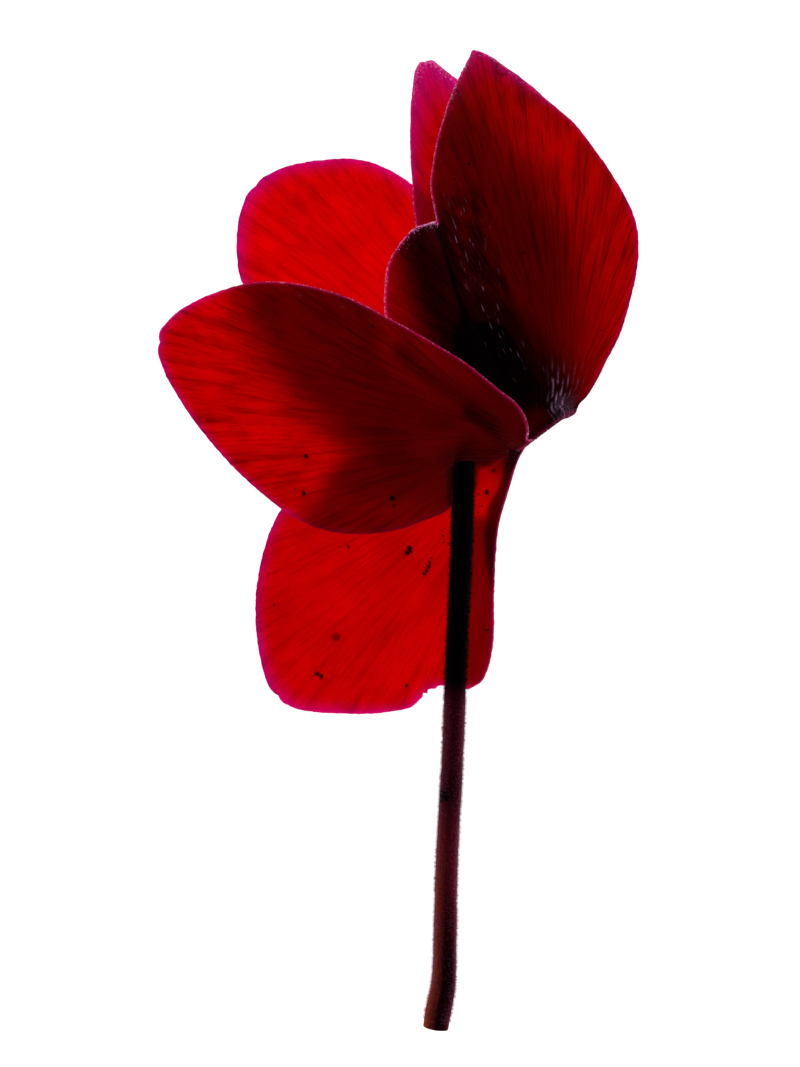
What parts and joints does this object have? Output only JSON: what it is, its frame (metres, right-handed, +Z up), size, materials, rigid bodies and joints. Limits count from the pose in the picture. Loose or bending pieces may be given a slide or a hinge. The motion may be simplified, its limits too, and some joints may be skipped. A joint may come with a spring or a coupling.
{
  "type": "cut cyclamen flower",
  "caption": "Single cut cyclamen flower lying down: nodding bloom with swept-back petals on a hooked, slender stem.",
  "frame": {"origin": "on the table, below the centre of the flower's bounding box", "axes": "+Z up from the table, +Y along the stem from the cut end towards the bloom, +X to the right seen from above"},
  "size_m": [0.0667, 0.1382, 0.0302],
  "materials": {
    "petal": "soft translucent petal, deep red with a magenta rim",
    "stem": "dark purple-brown fleshy stalk with very short hairs",
    "calyx": "dark purple-green sepals, matt",
    "tube": "dark wine-red corolla tube, satin",
    "pistil": "satin",
    "anthers": "matt, pollen yellow"
  },
  "bodies": {
    "root": {"stem": "stem", "calyx": "calyx", "corolla_tube": "tube", "pistil": "pistil", "anther_cone": "anthers", "petal_front_left": "petal", "petal_front_right": "petal", "petal_back_right": "petal", "petal_back_left": "petal", "petal_lower": "petal"}
  },
  "joints": []
}
